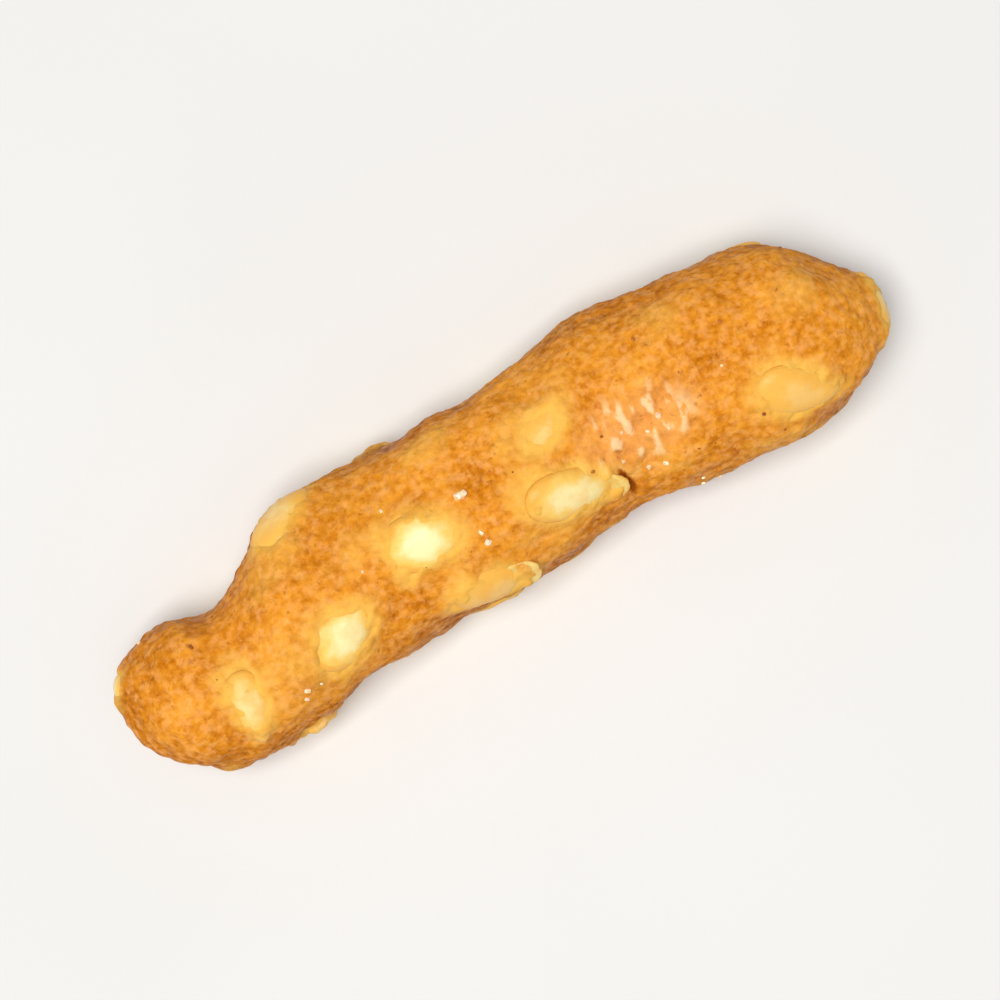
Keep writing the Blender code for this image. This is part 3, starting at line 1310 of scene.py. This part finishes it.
@dataclass
class BranFlecks(Scatter):
    """Brown flecks of bran and spice, half sunk in the skin.

    Width and height are shares of a fleck's length.
    """

    count: int = 48
    length: tuple = (0.09, 0.24)
    shortened: tuple = (0.6, 1.0)
    width: tuple = (0.45, 0.9)
    height: float = 0.35
    raised: float = 0.02
    along: tuple = (0.8, 31.6)
    around: tuple = (-150.0, 150.0)
    rough: Waves = Waves(0.3, 0.4, 2.0)
    draws: int = 8

    def pattern(self) -> Object:
        """Models one fleck: a rough chip.

        Returns:
            The fleck, 1 mm long, at the origin.
        """
        obj = primitive(
            bpy.ops.mesh.primitive_ico_sphere_add, "fleck", subdivisions=2, radius=0.5
        )
        places = points_of(obj)
        move_points(obj, places * (1.0 + self.rough.at(places))[:, None])
        return obj

    def build(self) -> Object:
        """Models the flecks.

        Returns:
            The piece, in millimetres.
        """
        draw = random.Random(self.draws)
        pattern = self.pattern()
        flecks = []
        for _ in range(self.count):
            length = draw.uniform(*self.length) * draw.uniform(*self.shortened)
            along, around = draw.uniform(*self.along), draw.uniform(*self.around)
            spot = self.landing(along, around, draw.uniform(0.0, 360.0))
            if spot is None:
                continue
            width = length * draw.uniform(*self.width)
            shape = Matrix.Diagonal((length, width, length * self.height, 1.0))
            flecks.append(placed_copy(pattern, spot.matrix(self.raised) @ shape))
        bpy.data.objects.remove(pattern, do_unlink=True)
        return joined(flecks, "bran_flecks")


# --- The studio ---


@dataclass(frozen=True)
class Lamp:
    """A square soft light. Its direction is right, up and above, as the picture has them."""

    name: str
    direction: tuple
    distance: float
    side: float
    power: float
    colour: tuple


@dataclass
class Studio:
    """A pale floor, soft light from above and a camera that looks down on the stick."""

    # How far the stick rises to the right in the picture, and how steeply the camera looks down.
    rise: float = 24.25
    elevation: float = 88.0
    lens: float = 100.0
    sensor: float = 36.0
    view_width: float = 0.0375
    clip: tuple = (0.05, 50.0)
    floor_size: float = 0.8
    floor_tones: tuple = ((0.79, 0.79, 0.78, 1.0), (0.81, 0.81, 0.805, 1.0))
    lamps: tuple = (
        Lamp("key", (-0.16, -0.12, 1.0), 0.6, 0.3, 3.6, (1.0, 0.985, 0.96)),
        Lamp("fill", (0.8, -0.6, 0.9), 0.32, 0.25, 0.04, (1.0, 0.99, 0.97)),
    )
    sky: float = 0.2

    def picture_axes(self) -> Matrix:
        """The directions right and up on the floor in the picture, and above, as columns."""
        return Matrix.Rotation(-math.radians(self.rise), 3, "Z")

    def floor(self) -> None:
        """Lays the surface that the stick lies on."""
        obj = primitive(bpy.ops.mesh.primitive_plane_add, "floor", size=self.floor_size)
        graph = Graph("pale_floor")
        tone = graph.band(graph.noise(30.0, 2.0, 0.5), 0.3, 0.7)
        colour = graph.mix(tone, *self.floor_tones)
        material = graph.dressed(colour, Roughness=0.8, Specular_IOR_Level=0.2)
        obj.data.materials.append(material)

    def hang(self, lamp: Lamp) -> None:
        """Hangs a lamp that points at the stick.

        Args:
            lamp: Which one.
        """
        light = bpy.data.lights.new(lamp.name, "AREA")
        light.size, light.energy, light.color = lamp.side, lamp.power, lamp.colour
        place = (self.picture_axes() @ Vector(lamp.direction)).normalized() * lamp.distance
        obj = bpy.data.objects.new(lamp.name, light)
        obj.location = place
        obj.rotation_mode = "QUATERNION"
        obj.rotation_quaternion = (-place).to_track_quat("-Z", "Y")
        bpy.context.scene.collection.objects.link(obj)

    def light_sky(self) -> None:
        """Lights the stick a little from all round."""
        world = bpy.data.worlds.new("sky")
        world.use_nodes = True
        backdrop = world.node_tree.nodes["Background"]
        backdrop.inputs["Color"].default_value = (1.0, 1.0, 1.0, 1.0)
        backdrop.inputs["Strength"].default_value = self.sky
        bpy.context.scene.world = world

    def camera(self) -> None:
        """Looks down on the stick, which rises to the right in the picture."""
        low, high = CAD_BOX
        lean = Matrix.Rotation(math.radians(90.0 - self.elevation), 3, "X")
        axes = self.picture_axes() @ lean
        distance = self.view_width * self.lens / self.sensor
        data = bpy.data.cameras.new("camera")
        data.lens = self.lens
        data.sensor_width = self.sensor
        data.clip_start, data.clip_end = (distance * share for share in self.clip)
        obj = bpy.data.objects.new("camera", data)
        place = (low + high) / 2.0 + axes.col[2] * distance
        obj.matrix_world = Matrix.Translation(place) @ axes.to_4x4()
        bpy.context.scene.collection.objects.link(obj)
        bpy.context.scene.camera = obj

    def build(self) -> None:
        """Sets up the floor, the lights and the camera."""
        self.floor()
        for lamp in self.lamps:
            self.hang(lamp)
        self.light_sky()
        self.camera()
        view = bpy.context.scene.view_settings
        view.view_transform = "Standard"
        view.look = "None"


def main() -> None:
    """Builds the stick and the studio round it."""
    logging.basicConfig(level=logging.INFO, format="%(name)s: %(message)s")
    strand = Strand()
    toppings = Toppings(strand)
    LOG.info("%d seeds", len(toppings.lay_out()))
    dough = Dough(toppings).build()
    salt = SaltGrains(dough, strand).build()
    bran = BranFlecks(dough, strand).build()
    finish_piece(dough, FriedDough())
    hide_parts(NODE)
    finish_piece(SesameSeeds(toppings).build(), HulledSesame())
    finish_piece(SkinFlakes(toppings).build(), FriedSkin())
    finish_piece(salt, Salt(), smooth=False)
    finish_piece(bran, Bran())
    Studio().build()


if __name__ == "__main__":
    main()
